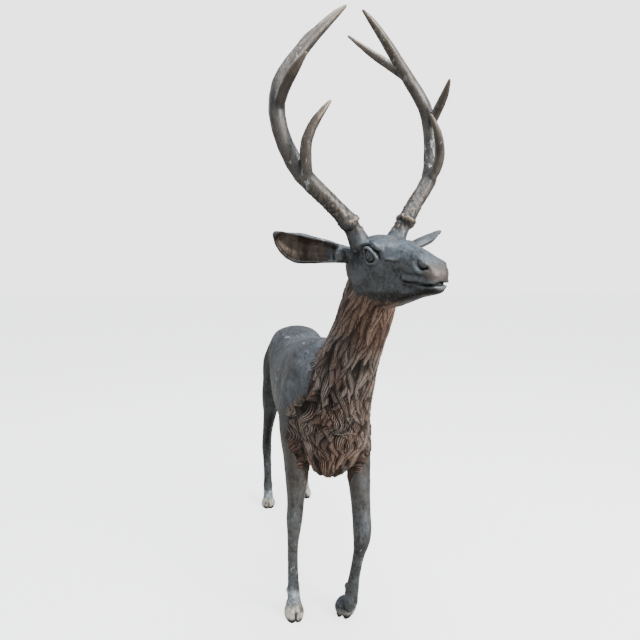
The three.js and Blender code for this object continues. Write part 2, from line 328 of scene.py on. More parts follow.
def eye_solids(side):
    """The eyeball and its lids, in the head's axes; side is 1 on the right."""
    def lid(start, end, share):
        turns = np.linspace(start, end, LID_POINTS)
        along = share * EYE_OPEN[0] * np.cos(turns)
        up = share * EYE_OPEN[1] * np.sin(turns) - EYE_SLANT * along
        out = 0.0675 - 0.010 * (along / 0.027) ** 2
        return np.c_[side * out, EYE[1] + along, EYE[2] + up]
    return [
        ball((side * 0.0540, EYE[1], EYE[2] - 0.001), (0.0185, 0.0205, 0.0185)),
        tube(lid(-0.15, math.pi + 0.1, 1.28), taper(LID_POINTS, 0.0044, 0.0024)),
        tube(lid(math.pi + 0.1, 2 * math.pi - 0.15, 1.20), taper(LID_POINTS, 0.0028, 0.0020)),
    ]


def dewclaws(fetlock):
    """Two blunt studs behind a fetlock."""
    x, y, z = fetlock
    return [ball((x + side * 0.013, y + 0.023, z - 0.008), (0.0085, 0.010, 0.013), 12) for side in (-1, 1)]


FETLOCKS = [
    (-0.086, -0.396, 0.098),
    (0.108, -0.424, 0.104),
    (-0.102, 0.440, 0.098),
    (0.092, 0.510, 0.098),
]

# Each hoof's middle, how far it turns and how high its coronet is.
CORONET = 0.049
LIFTED_CORONET = 0.036
HOOVES = [
    (-0.082, -0.378, 0.0, CORONET),
    (-0.102, 0.425, 0.0, CORONET),
    (0.092, 0.495, 0.0, CORONET),
    (0.092, -0.394, -0.6, LIFTED_CORONET),
]


def hoof_shell(hoof):
    """The rounded horn that closes a hoof's claws together."""
    x, y, turn, height = hoof
    if height == LIFTED_CORONET:
        verts, faces = ball((0, 0, 0.024), (0.0365, 0.0430, 0.0265))
    else:
        verts, faces = ball((0, 0, 0.30 * height), (0.0335, 0.0415, 0.62 * height))
    u, v, z = verts.T
    cos, sin = math.cos(turn), math.sin(turn)
    return np.c_[u * cos - v * sin, u * sin + v * cos, z] + [x, y, 0], faces


def extra_solids():
    """All of them, in the drawing's axes."""
    on_head = eye_solids(-1) + eye_solids(1)
    on_head.append(ball((0, 0.148, -0.051), (0.034, 0.063, 0.0060)))  # gums
    for side in (-1, 1):
        on_head.append(ball((side * 0.083, -0.056, 0.018), (0.020, 0.014, 0.021)))  # roots of the ears
    made = [hoof_shell(hoof) for hoof in HOOVES]
    made += [(from_head(verts), faces) for verts, faces in on_head]
    for fetlock in FETLOCKS:
        made += dewclaws(fetlock)
    return made


# ---- One skin ----

def rough_skin():
    """The casting and the extra solids as one even skin."""
    source = DEER.data
    verts = [tuple(v.co) for v in source.vertices]
    faces = [tuple(p.vertices) for p in source.polygons]
    for more, more_faces in extra_solids():
        start = len(verts)
        verts += [tuple(v) for v in more + DATUM]
        faces += [tuple(start + i for i in face) for face in more_faces]
    mesh = bpy.data.meshes.new("deer_cast")
    mesh.from_pydata(verts, [], faces)
    skin = bpy.data.objects.new("deer_cast", mesh)
    bpy.context.collection.objects.link(skin)
    remesh = skin.modifiers.new("even", "REMESH")
    remesh.mode = "VOXEL"
    remesh.voxel_size = VOXEL
    apply_modifiers(skin)
    return skin


def apply_modifiers(obj):
    """Bakes an object's modifiers into its mesh."""
    graph = bpy.context.evaluated_depsgraph_get()
    made = bpy.data.meshes.new_from_object(obj.evaluated_get(graph))
    old = obj.data
    obj.modifiers.clear()
    obj.data = made
    bpy.data.meshes.remove(old)


def numbers_of(items, name, width, kind=np.float32):
    """One property of a mesh's items as rows of numbers."""
    flat = np.empty(len(items) * width, dtype=kind)
    items.foreach_get(name, flat)
    return flat.reshape(-1, width)


def points_of(mesh):
    return numbers_of(mesh.vertices, "co", 3).astype(float)


def normals_of(mesh):
    return numbers_of(mesh.vertex_normals, "vector", 3).astype(float)


def set_points(mesh, points):
    mesh.vertices.foreach_set("co", points.astype(np.float32).ravel())
    mesh.update()


class Neighbours:
    """Averages values over each vertex's neighbours."""

    def __init__(self, mesh):
        self.count = len(mesh.vertices)
        edges = numbers_of(mesh.edges, "vertices", 2, np.int32)
        self.a, self.b = edges[:, 0], edges[:, 1]
        self.degree = np.bincount(edges.ravel(), minlength=self.count).clip(1)

    def mean(self, values):
        if values.ndim == 2:
            return np.stack([self.mean(column) for column in values.T], axis=1)
        total = np.bincount(self.a, values[self.b], self.count)
        total = total + np.bincount(self.b, values[self.a], self.count)
        return total / self.degree

    def blur(self, values, passes):
        for _ in range(passes):
            values = 0.5 * values + 0.5 * self.mean(values)
        return values


# ---- Where things are ----

NECK_STEPS = 64


def neck_place(points):
    """For each point: height up the neck (m), angle round it (0 at the throat, + to the stag's left) and
    distance from its middle line as a share of the neck's radius there."""
    path = curve(NECK[:, :3], NECK_STEPS)
    sizes = curve(np.c_[NECK[:, 3:], np.zeros(len(NECK))], NECK_STEPS)
    lengths = np.r_[0, np.cumsum(np.linalg.norm(np.diff(path, axis=0), axis=1))]
    _, share = to_path(points, path)

    def there(table):
        return np.interp(share * (NECK_STEPS - 1), range(NECK_STEPS), table)

    spot = np.stack([there(column) for column in path.T], axis=1)
    along = np.stack([there(column) for column in np.gradient(path, axis=0).T], axis=1)
    along /= np.linalg.norm(along, axis=1, keepdims=True)
    left = np.array([1.0, 0, 0]) - along * along[:, :1]
    left /= np.linalg.norm(left, axis=1, keepdims=True)
    front = np.cross(left, along)
    front *= np.where(front[:, 1] > 0, -1.0, 1.0)[:, None]
    away = points - spot
    across = (away * left).sum(axis=1) / there(sizes[:, 0])
    ahead = (away * front).sum(axis=1) / there(sizes[:, 1])
    return there(lengths), np.arctan2(across, ahead), np.hypot(across, ahead)


def region_masks(points):
    """Shares from 0 to 1 that say how far each point belongs to each region of the stag, and its height up
    the neck and angle round it."""
    y, z = points[:, 1], points[:, 2]
    hx, hy, hz = to_head(points).T
    side = np.abs(hx)
    height, angle, ratio = neck_place(points)

    antler_start = 0.068 + 0.02 * step(side, 0.07, 0.12)
    antler = step(hz, antler_start, antler_start + 0.012) * step(z, 1.2, 1.22)
    ear = step(side, 0.074, 0.084) * (1 - antler) * step(hz, -0.06, -0.04)
    ear = ear * step(z, 1.1, 1.12) * step(-hy, -0.01, 0.01)
    jaw_line = -0.089 + 0.09 * step(hy, -0.02, -0.11)
    above_jaw = step(hz, jaw_line - 0.006, jaw_line + 0.006) * step(hy, -0.125, -0.105)
    face = np.clip(above_jaw * (1 - antler) * (1 - ear) * step(hy, -0.15, -0.1), 0, 1)

    relief = mane_relief({"angle": angle, "height": height})[0]
    edge = 1.08 + 0.30 * step(height, 0.34, 0.16) + 0.16 * (relief - 0.5) + 0.06 * noise(points, 0.03, 3)
    mane = step(ratio, edge + 0.03, edge) * (1 - antler) * (1 - ear) * (1 - above_jaw)
    below_jaw = step(hz, jaw_line - 0.006, jaw_line - 0.013) * step(hy, 0.112, 0.092) * step(hy, -0.07, -0.05)
    mane = np.maximum(mane, below_jaw * step(side, 0.085, 0.075) * step(hz, -0.16, -0.14))
    mane *= step(z, 0.47, 0.49)
    mane *= step(y + 0.05 * (relief - 0.5), -0.31, -0.35)
    trunk = step(z, 0.50, 0.62) * (1 - step(z, 0.98, 1.06))
    return {"face": face, "antler": antler, "ear": ear, "mane": mane, "trunk": trunk, "height": height,
            "angle": angle}


# ---- Smoothing ----

# How far the smoothing reaches, in metres. The trunk's is added to the leg's, the ear root's to the ear's.
REACH = {"leg": 0.007, "trunk": 0.011, "face": 0.0042, "muzzle": 0.0062, "antler": 0.0055, "eye": 0.0016,
         "ear": 0.0030, "ear_root": 0.0050}
# The radius of curvature that a smoothed part's shrinkage is reckoned from, and the passes that blur it.
LEG_RADIUS = 0.020
TRUNK_RADIUS = 0.13
SHRINKAGE_PASSES = 40


def smoothing_reach(points, where):
    """Wide on the trunk, close on the legs, antlers, head and ears, and closest round the eyes."""
    head = to_head(points)
    reach = REACH["leg"] + REACH["trunk"] * where["trunk"]
    for region in ("face", "antler"):
        reach = np.where(where[region] > 0.5, REACH[region], reach)
    reach = np.where((where["face"] > 0.5) & (head[:, 1] > 0.195), REACH["muzzle"], reach)
    ear_root = step(np.abs(head[:, 0]), 0.125, 0.085)
    reach = np.where(where["ear"] > 0.5, REACH["ear"] + REACH["ear_root"] * ear_root, reach)
    reach *= 1 - 0.6 * step(points[:, 2], 0.055, 0.045)
    eye_gap = np.linalg.norm(np.abs(head) - EYE, axis=1)
    return np.where((eye_gap < 0.032) & (where["antler"] < 0.5), REACH["eye"], reach)


def soften(mesh, near):
    """Rounds off the loft's facets, and gives back the thickness that smoothing takes."""
    before = points_of(mesh)
    points = before - DATUM
    where = region_masks(points)
    reach = near.blur(smoothing_reach(points, where), 6)
    share = np.clip(reach**2 / (SMOOTHING_PASSES * VOXEL**2 * 0.5), 0, 0.9)[:, None]
    for _ in range(SMOOTHING_PASSES):
        points += share * (near.mean(points) - points)
    points += DATUM
    set_points(mesh, points)
    normals = normals_of(mesh)
    even = 0.35 * reach**2 / np.interp(where["trunk"], [0, 1], [LEG_RADIUS, TRUNK_RADIUS])
    lost = near.blur(((before - points) * normals).sum(axis=1), SHRINKAGE_PASSES)
    thin = (1 - where["trunk"]) * (1 - where["ear"])
    set_points(mesh, points + normals * (even + thin * (lost - even))[:, None])


# ---- Hair ----

# The neck's skin unrolled, in metres a cell. Row 0 lies at SHEET_TOP up the neck.
SHEET_CELL = 0.001
SHEET_RADIUS = 0.100
SHEET_WIDE = round(2 * math.pi * SHEET_RADIUS / SHEET_CELL)
SHEET_LONG = 800
SHEET_TOP = 0.75
BARE_HEIGHT = 0.15
FINEST_STRAND = 0.0030


def draw_lock(sheet, tones, lock):
    """Draws one lock over what lies under it: strands side by side that meet in a point."""
    start, down = lock["at"]
    length, half = lock["length"], lock["half"]
    reach = half + 2 * abs(lock["sway"]) + abs(lock["tilt"]) * length
    columns = np.arange(int((start - reach) / SHEET_CELL), int((start + reach) / SHEET_CELL) + 2)
    rows = np.arange(int(down / SHEET_CELL), int((down + length) / SHEET_CELL) + 1)
    rows = rows[(rows >= 0) & (rows < SHEET_LONG)]
    across, v = np.meshgrid(columns * SHEET_CELL, (rows * SHEET_CELL - down) / length)
    v = np.clip(v, 0.001, 0.999)
    turns = lock["phase"] + lock["waves"] * v
    bend = np.sin(2 * math.pi * turns) - math.sin(2 * math.pi * lock["phase"])
    middle = start + lock["tilt"] * length * v + lock["sway"] * bend
    wide = half * 1.55 * v**0.22 * (1 - v) ** 0.50
    t = (across - middle) / wide
    inside = np.abs(t) < 1
    dome = np.clip(1 - t * t, 0, 1) ** 0.35
    place = (t + 1) / 2 * lock["strands"]
    strand = np.clip(1 - (2 * (place - np.floor(place)) - 1) ** 2, 0, 1)
    fine = np.clip(wide * 2 / lock["strands"] / FINEST_STRAND, 0, 1)
    rise = 0.45 + 0.55 * step(v, 0.05, 0.65)
    height = rise * lock["gain"] * dome * (0.15 + 0.85 * (strand * fine + 0.6 * (1 - fine)))
    spot = np.ix_(rows, columns % SHEET_WIDE)
    sheet[spot] = np.where(inside, height, sheet[spot])
    tones[spot] = np.where(inside, lock["tone"] + 0.25 * (strand - 0.5), tones[spot])


# How far down the sheet the first and last rows of locks start. They are drawn from the lowest up, so that
# each lies over the one below. The spacings are shares of a lock's half width and of its length.
LOWEST_LOCK = 0.74
HIGHEST_LOCK = -0.10
LOCK_SPACING = 1.35
ROW_SPACING = 0.36


def mane_sheet():
    """The mane's relief and its tones on the neck's unrolled skin; rows run down it, columns round it."""
    dice = np.random.default_rng(7)
    sheet = np.full((SHEET_LONG, SHEET_WIDE), BARE_HEIGHT)
    tones = np.full((SHEET_LONG, SHEET_WIDE), 0.5)
    down = LOWEST_LOCK
    while down > HIGHEST_LOCK:
        low = float(step(down, 0.30, 0.52))
        length = 0.112 - 0.028 * low
        half = 0.0150 + 0.0030 * low
        around = np.arange(0, SHEET_WIDE * SHEET_CELL, LOCK_SPACING * half)
        for start in dice.permutation(around + dice.uniform(0, half)):
            spot = np.array([[start, down]])
            turn = 0.70 * noise(spot, 0.080, 41)[0] + dice.normal(0, 0.07 + 0.13 * low)
            draw_lock(sheet, tones, {
                "at": (start, down + dice.uniform(-0.020, 0.020)),
                "length": length * dice.uniform(0.70, 1.35),
                "half": half * dice.uniform(0.70, 1.25),
                "tilt": float(np.clip(turn, -0.65, 0.65)),
                "sway": (0.0052 + 0.0030 * low) * dice.uniform(0.6, 1.3),
                "waves": dice.uniform(0.75, 1.25),
                "phase": 0.9 * noise(spot, 0.060, 43)[0] + dice.uniform(0, 0.14),
                "strands": int(dice.integers(5, 7)),
                "gain": dice.uniform(0.72, 1.0),
                "tone": dice.uniform(0, 1),
            })
        down -= ROW_SPACING * length
    for axis in (0, 1):
        sheet = 0.25 * np.roll(sheet, 1, axis) + 0.5 * sheet + 0.25 * np.roll(sheet, -1, axis)
    return sheet, tones


MANE_SHEETS = mane_sheet()


def mane_relief(where):
    """Each point's height on the mane's locks, 0 to 1, its lock's tone, and how far down the chest it is."""
    column = (where["angle"] * SHEET_RADIUS / SHEET_CELL) % SHEET_WIDE
    row = np.clip((SHEET_TOP - where["height"]) / SHEET_CELL, 0, SHEET_LONG - 2)
    c, r = np.floor(column).astype(int), np.floor(row).astype(int)
    u, v = column - c, row - r
    found = []
    left, right = c % SHEET_WIDE, (c + 1) % SHEET_WIDE
    for sheet in MANE_SHEETS:
        above, below = (sheet[k, left] * (1 - u) + sheet[k, right] * u for k in (r, r + 1))
        found.append(above * (1 - v) + below * v)
    return found[0], found[1], step(where["height"], 0.46, 0.20)


# ---- Sculpting ----

TRUNK_MIDDLE = 0.0275

# Muscles, bones and hollows: centre, radii, how far out. These ones are the same on both sides of the trunk.
RIGHT_SWELLS = [
    ((-0.095, -0.345, 0.700), (0.035, 0.070, 0.090), 0.006),  # shoulder
    ((-0.095, -0.300, 0.610), (0.035, 0.045, 0.050), 0.007),  # upper arm
    ((-0.100, -0.235, 0.700), (0.040, 0.022, 0.110), -0.005),  # hollow behind it
    ((-0.100, 0.400, 0.700), (0.040, 0.080, 0.090), 0.005),  # thigh
    ((-0.110, 0.235, 0.700), (0.050, 0.035, 0.100), -0.008),  # flank
    ((-0.060, 0.330, 0.880), (0.030, 0.040, 0.030), 0.004),  # hip bone
]
LEFT_SWELLS = [((2 * TRUNK_MIDDLE - x, y, z), radii, out) for (x, y, z), radii, out in RIGHT_SWELLS]
LEG_SWELLS = [
    ((-0.084, -0.444, 0.362), (0.020, 0.012, 0.026), 0.003),  # knees
    ((0.123, -0.512, 0.335), (0.020, 0.014, 0.028), 0.004),
    ((-0.104, 0.505, 0.300), (0.014, 0.016, 0.024), 0.005),  # points of the hocks
    ((0.094, 0.545, 0.300), (0.014, 0.016, 0.024), 0.003),
]
FETLOCK_BACKS = [(-0.088, -0.372, 0.092), (0.106, -0.398, 0.098), (-0.102, 0.466, 0.092),
                 (0.092, 0.534, 0.092)]
LEG_SWELLS += [(centre, (0.018, 0.012, 0.016), 0.003) for centre in FETLOCK_BACKS]

# Grooves down the cannon bones, in front of the tendons.
GROOVES = [
    [(-0.107, -0.394, 0.300), (-0.109, -0.390, 0.200), (-0.107, -0.388, 0.130)],
    [(-0.073, -0.394, 0.300), (-0.072, -0.390, 0.200), (-0.073, -0.388, 0.130)],
    [(0.140, -0.455, 0.270), (0.136, -0.428, 0.190), (0.128, -0.412, 0.140)],
    [(0.101, -0.455, 0.270), (0.098, -0.428, 0.190), (0.092, -0.412, 0.140)],
    *([(x, 0.468, 0.230), (x, 0.462, 0.180), (x, 0.455, 0.130)] for x in (-0.122, -0.082)),
    *([(x, 0.514, 0.230), (x, 0.518, 0.180), (x, 0.518, 0.130)] for x in (0.112, 0.072)),
    [(-0.118, 0.440, 0.370), (-0.122, 0.400, 0.440), (-0.128, 0.380, 0.500)],  # in front of the hamstrings
    [(0.112, 0.475, 0.370), (0.118, 0.432, 0.440), (0.127, 0.402, 0.500)],
]


GROOVE_DEPTH = 0.0022
GROOVE_WIDTH = 0.0045
RIB_HEIGHT = 0.0010
RIB_SPACING = 0.048


def body_relief(points, where):
    """How far the muscles stand out and the hollows sink."""
    out = np.zeros(len(points))
    for centre, radii, amount in RIGHT_SWELLS + LEFT_SWELLS + LEG_SWELLS:
        out += amount * bump(points, centre, radii)
    for path in GROOVES:
        gap, along = to_path(points, curve(path, 12))
        out -= GROOVE_DEPTH * bell(gap, GROOVE_WIDTH) * np.sin(math.pi * np.clip(along, 0.03, 0.97))
    ribs = np.sin(2 * math.pi * (points[:, 1] + 0.25 * points[:, 2]) / RIB_SPACING)
    cage = bump(points, (0.028, -0.03, 0.700), (0.30, 0.15, 0.085))
    out += RIB_HEIGHT * ribs * cage
    return out * (1 - where["antler"]) * (1 - 0.8 * where["mane"])


def groove(points, path, wide, deep):
    """A rounded groove of the given depth along a curve; a negative depth is a ridge."""
    gap, _ = to_path(points, curve(path, 20))
    return -deep * bell(gap, wide)


def eye_relief(p):
    """The swell of the lids and brow, and the lines of the opening, the fold, the iris and the pupil."""
    along = p[:, 1] - EYE[1]
    up = p[:, 2] - EYE[2]
    slant_up = up + EYE_SLANT * along
    r = np.hypot(along / EYE_OPEN[0], slant_up / EYE_OPEN[1])
    upper = step(slant_up, -0.002, 0.004)
    iris = np.hypot((along + 0.001) / 0.0088, (up - 0.001) / 0.0098)
    lines = -0.0042 * bell(r - 0.98, 0.12)  # opening
    lines -= (0.0012 + 0.0026 * upper) * bell(r - 1.66, 0.13)  # fold
    lines -= 0.0026 * bell(iris - 1, 0.17) * step(r, 0.98, 0.85)
    lines -= 0.0024 * bell(iris, 0.38)  # pupil
    swell = (0.0018 + 0.0028 * upper) * bell(r - 1.27, 0.18)  # lids
    swell += 0.0042 * step(slant_up, 0.008, 0.022) * bell(r - 2.20, 0.34)  # brow
    side = step(p[:, 0], 0.030, 0.045)
    return swell * side, lines * side


# The face's rounded forms, given for the right: centre, radii, how far out.
FACE_SWELLS = [
    ((0.058, -0.005, -0.045), (0.025, 0.040, 0.034), 0.0026),  # cheek muscle
    ((0.034, 0.030, -0.112), (0.048, 0.060, 0.018), -0.0080),  # under the jaw
    ((0.050, 0.112, 0.006), (0.020, 0.050, 0.008), 0.0030),  # cheek bone
    ((0.048, 0.116, -0.026), (0.020, 0.030, 0.012), -0.0035),  # hollow under it
    ((0.030, 0.200, -0.004), (0.016, 0.018, 0.012), 0.0030),  # nose pad
]

# Its ridges and folds: path, width, depth; a negative depth is a ridge. Two are round the tear duct, two at
# the corner of the mouth and two round the nostril.
FACE_FOLDS = [
    ([(0.054, 0.094, 0.009), (0.050, 0.113, 0.007), (0.046, 0.131, 0.006)], 0.0036, -0.0024),
    ([(0.052, 0.110, -0.007), (0.049, 0.122, -0.008), (0.045, 0.138, -0.008)], 0.0030, -0.0022),
    ([(0.044, 0.127, -0.034), (0.0455, 0.118, -0.046), (0.043, 0.124, -0.060)], 0.0042, -0.0052),
    ([(0.046, 0.114, -0.034), (0.0475, 0.105, -0.048), (0.046, 0.112, -0.064)], 0.0046, 0.0034),
    ([(0.039, 0.171, 0.001), (0.039, 0.175, -0.014), (0.036, 0.190, -0.0255), (0.030, 0.204, -0.025)],
     0.0034, -0.0040),
    ([(0.034, 0.190, 0.004), (0.031, 0.200, -0.004), (0.027, 0.207, -0.009)], 0.0050, -0.0036),
]

# Its carved lines.
TEAR_DUCT = ([(0.055, 0.092, 0.002), (0.051, 0.112, 0.000), (0.047, 0.130, -0.001)], 0.0026, 0.0056)
NOSTRIL = ([(0.036, 0.181, 0.002), (0.037, 0.184, -0.010), (0.034, 0.194, -0.017), (0.029, 0.205, -0.016)],
           0.0030, 0.0078)
MOUTH = [(0.041, 0.128, -0.045), (0.036, 0.158, -0.0505), (0.031, 0.184, -0.051), (0.022, 0.204, -0.0515),
         (0.000, 0.218, -0.052)]


def mirrored(head):
    """Points in the head's axes, moved to its right half."""
    return np.c_[np.abs(head[:, 0]), head[:, 1:]]


def face_relief(head, where):
    """How far the face's forms stand out, and how far its carved lines go in, in the head's axes."""
    p = mirrored(head)
    z = head[:, 2]
    out, lines = eye_relief(p)
    for centre, radii, amount in FACE_SWELLS:
        out += amount * bump(p, centre, radii)
    for fold in FACE_FOLDS:
        out += groove(p, *fold)
    lines += groove(p, *TEAR_DUCT)
    lines += groove(p, *NOSTRIL)
    slit, along = to_path(p, curve(MOUTH, 30))
    lines -= 0.0058 * bell(slit, 0.0031)
    lips = bell(slit - 0.0084, 0.0038) * step(along, 0.0, 0.06) * step(along, 0.98, 0.80)
    out += np.where(z > -0.051, 0.0056, 0.0052) * lips
    above_lip = bell(slit - 0.0190, 0.0036) * step(along, 0.0, 0.06) * step(along, 0.80, 0.60)
    out -= 0.0030 * above_lip * step(z, -0.050, -0.044)
    return out * where["face"], lines * where["face"]


# The ears' middle lines and half widths, in the head's axes, and the way that each opens.
RIGHT_EAR = np.array([[0.052, -0.046, 0.014, 0.021], [0.108, -0.076, 0.027, 0.031],
                      [0.180, -0.106, 0.040, 0.041], [0.208, -0.118, 0.055, 0.032],
                      [0.236, -0.130, 0.084, 0.008]])
LEFT_EAR = np.array([[-0.052, -0.046, 0.008, 0.020], [-0.116, -0.046, 0.018, 0.037],
                     [-0.196, -0.052, 0.040, 0.043], [-0.230, -0.055, 0.054, 0.031],
                     [-0.268, -0.052, 0.072, 0.008]])
EARS = {1: (RIGHT_EAR, np.array([0.45, 0.88, -0.1])), -1: (LEFT_EAR, np.array([-0.3, 0.2, -0.9]))}
EAR_STEPS = 24


def ear_place(head):
    """How far along its ear each point is, 0 to 1, and how far across it, -1 to 1."""
    along = np.zeros(len(head))
    across = np.zeros(len(head))
    stops = np.linspace(0, 1, EAR_STEPS)
    for side, (rows, facing) in EARS.items():
        mine = head[:, 0] * side > 0
        path = curve(rows[:, :3], EAR_STEPS)
        widths = np.interp(stops, np.linspace(0, 1, len(rows)), rows[:, 3])
        _, share = to_path(head, path)
        spot = np.stack([np.interp(share, stops, column) for column in path.T], axis=1)
        over = np.cross(facing, path[-1] - path[0])
        over /= np.linalg.norm(over)
        t = (head - spot) @ over / np.interp(share, stops, widths)
        along = np.where(mine, share, along)
        across = np.where(mine, t, across)
    return along, across


def ear_hollow(head, normals_in_head):
    """1 in the ears' cups and 0 on their rims and backs."""
    along, across = ear_place(head)
    facing = np.where(head[:, 0] > 0, normals_in_head @ EARS[1][1], normals_in_head @ EARS[-1][1])
    inside = step(np.abs(across), 0.90, 0.72) * step(along, 0.20, 0.30) * step(along, 0.99, 0.92)
    return inside * step(facing, -0.1, 0.25)


def antler_relief(head, where):
    """Long grain along the beams, with knobs round the burr and rough pearls above it."""
    x, y, z = head.T
    low = step(z, 0.34, 0.10)
    grain = noise(np.c_[x, y, z * 0.16], 0.006, 51)
    grain += 0.6 * noise(np.c_[x, y, z * 0.22], 0.0035, 52)
    pearls = np.clip(noise(head, 0.0065, 53) - 0.15, 0, 1)
    out = 0.0010 * grain * (0.10 + 0.90 * low) + 0.0042 * pearls * step(z, 0.20, 0.09)
    above_burr = (z - 0.10) + 0.45 * (np.abs(x) - 0.094)
    out += bell(above_burr, 0.0065) * (0.003 + 0.0035 * noise(head, 0.007, 54))
    return out * where["antler"]


def hoof_places(points):
    """For each hoof: how far each point is in it, its place across and along it, and its coronet's height."""
    for x, y, turn, height in HOOVES:
        ahead = points[:, 1] - y
        aside = points[:, 0] - x
        across = aside * math.cos(turn) + ahead * math.sin(turn)
        along = -aside * math.sin(turn) + ahead * math.cos(turn)
        inside = step(np.abs(across), 0.046, 0.040) * step(np.abs(along), 0.060, 0.052)
        yield inside * step(points[:, 2], 0.16, 0.12), across, along, height


def hoof_relief(points):
    """The cleft between the claws and the step of the coronet."""
    out = np.zeros(len(points))
    z = points[:, 2]
    for inside, across, along, height in hoof_places(points):
        depth = 0.0015 if height == LIFTED_CORONET else 0.0045
        low = inside * step(z, height + 0.006, height - 0.004)
        out -= low * depth * bell(across, 0.0030) * step(along, 0.0, -0.02)
        out -= inside * 0.0018 * bell(z - height, 0.0022)
    return out


def sculpt(mesh, near):
    """Moves the skin in and out to its finished relief."""
    points = points_of(mesh) - DATUM
    normals = normals_of(mesh)
    where = region_masks(points)
    head = to_head(points)
    relief, _, low = mane_relief(where)
    mane = near.blur(where["mane"], 2)
    depth = (0.0076 + 0.0044 * low) * (0.55 + 0.45 * step(where["height"], 0.68, 0.56))
    forms, lines = face_relief(head, where)
    out = mane * depth * (relief - 0.45)
    out += body_relief(points, where) + forms + lines + antler_relief(head, where) + hoof_relief(points)
    out += 0.0005 * noise(points, 0.02, 61) * (1 - mane)
    points += normals * out[:, None]
    set_points(mesh, np.clip(points + DATUM, CAD_BOX[0], CAD_BOX[1]))


# ---- Where the finish and the painted light and shade change ----

def cavities(mesh, near):
    """For each point of the even skin, 0 on sharp ridges, 0.5 where it is flat and 1 in narrow hollows."""
    points = points_of(mesh)
    normals = normals_of(mesh)
    narrow = near.blur(points, 4)
    broad = near.blur(narrow, 16)
    deep = 0.7 * ((narrow - points) * normals).sum(axis=1) / 0.0009
    deep += 0.3 * ((broad - points) * normals).sum(axis=1) / 0.0030
    return near.blur(0.5 + 0.5 * np.clip(deep, -1, 1), 1)


def nearest_values(points, known, values):
    """Values carried from known points to others, each from the nearest."""
    tree = KDTree(len(known))
    for i, spot in enumerate(known):
        tree.insert(spot, i)
    tree.balance()
    return np.array([values[tree.find(spot)[1]] for spot in points])


# A clean streak that ran down from the eye, and a painted highlight along the ridge over the tear duct, in
# the head's axes: path, width, depth of a groove of 1.
TEAR_STREAK = ([(0.063, 0.044, -0.014), (0.066, 0.040, -0.040), (0.060, 0.038, -0.075)], 0.0022, -1.0)
DUCT_RIDGE_HIGHLIGHT = ([(0.054, 0.094, 0.008), (0.050, 0.113, 0.006), (0.047, 0.128, 0.005)], 0.0024, -1.0)


def leg_masks(points):
    """The chalky pasterns, the hooves and their soles, the tones of the legs and hindquarters, and painted
    shade on the hindquarters and on the lower left legs.
    """
    x, y, z = points.T
    ragged = 0.012 * noise(points, 0.012, 71) + 0.012 * noise(points, 0.03, 72)
    fore_right = step(np.hypot(x + 0.084, y + 0.39), 0.07, 0.06) * step(z + ragged, 0.126, 0.098)
    behind = step(y, -0.2, -0.1)
    pale_top = 0.060 + 0.150 * step(x, 0.02, 0.05)
    hind = behind * 0.75 * step(z + ragged, pale_top + 0.045, pale_top)
    nail, dark = np.zeros(len(points)), np.zeros(len(points))
    for inside, across, along, height in hoof_places(points):
        cleft = bell(across, 0.0042) * step(z, 0.040, 0.026) * step(along, 0.0, -0.02)
        sole = step(z + 0.005 * noise(points, 0.010, 73), 0.017, 0.009)
        if height == LIFTED_CORONET:
            pale = 0.7 * bell(z - 0.021, 0.006)
            cleft *= 0.2
        else:
            pale = step(z, height, height - 0.004)
        nail = np.maximum(nail, inside * pale)
        dark = np.maximum(dark, inside * np.maximum(cleft, sole))
    # The stag's left legs below the knees keep the darker colour: painted shade.
    shaded_left_cannons = step(x, 0.02, 0.04) * step(z, 0.34, 0.26)
    hindquarters = step(y, 0.16, 0.34)
    return {
        "chalk": np.maximum(fore_right, hind),
        "hoof": nail,
        "sole": dark,
        "leg": step(z, 0.62, 0.34) * (1 - 0.92 * behind) * (1 - 0.90 * shaded_left_cannons),
        "hind": hindquarters,
        # Painted shade over the hindquarters.
        "hindquarter_shade": hindquarters * step(z, 0.14, 0.36) * step(z, 0.90, 0.74),
        "brown": step(z, 0.36, 0.52) * step(y, -0.26, -0.34) * step(z, 0.76, 0.66),
    }


def head_masks(head, normals, where):
    """The face's lines, its tear stain and a painted highlight over the tear duct, the nose and the ears'
    cups.
    """
    right = mirrored(head)
    # A clean tear streak and a painted highlight over the tear duct.
    stain = 0.6 * groove(right, *TEAR_STREAK) + 0.8 * groove(right, *DUCT_RIDGE_HIGHLIGHT)
    return {
        "ear_inside": where["ear"] * ear_hollow(head, normals @ HEAD_AXES),
        "crease": step(face_relief(head, where)[1], -0.0006, -0.0030),
        "stain": stain * where["face"],
        "nose": step(head[:, 1], 0.185, 0.222) * step(head[:, 2], -0.052, -0.035) * where["face"],
    }


def paint_masks(mesh, cavity):
    """Stores where the finish and the painted light and shade change, worked out on the finished skin."""
    near = Neighbours(mesh)
    points = points_of(mesh) - DATUM
    normals = normals_of(mesh)
    where = region_masks(points)
    head = to_head(points)
    relief, tone, _ = mane_relief(where)
    throat = step(np.linalg.norm(head - np.array([0, -0.02, -0.15]), axis=1), 0.16, 0.05)
    masks = {
        "cavity": cavity,
        "mane": near.blur(where["mane"], 1),
        "lock": relief,
        "tone": tone,
        "neck": step(points[:, 2], 0.86, 1.02),
        "throat": throat + bump(points, (0.03, -0.52, 0.56), (0.15, 0.12, 0.07)),
        "antler": where["antler"],
        "face": where["face"],
        # How far each point faces up. It drives real rain-washing and grime, and with them painted light on
        # faces turned up and painted shade on faces turned down.
        "facing_up_light_and_wash": 0.5 + 0.5 * near.blur(normals[:, 2], 3),
        **head_masks(head, normals, where),
        **leg_masks(points),
    }
    for name, values in masks.items():
        layer = mesh.attributes.new(name, "FLOAT", "POINT")
        layer.data.foreach_set("value", np.clip(values, 0, 1).astype(np.float32))
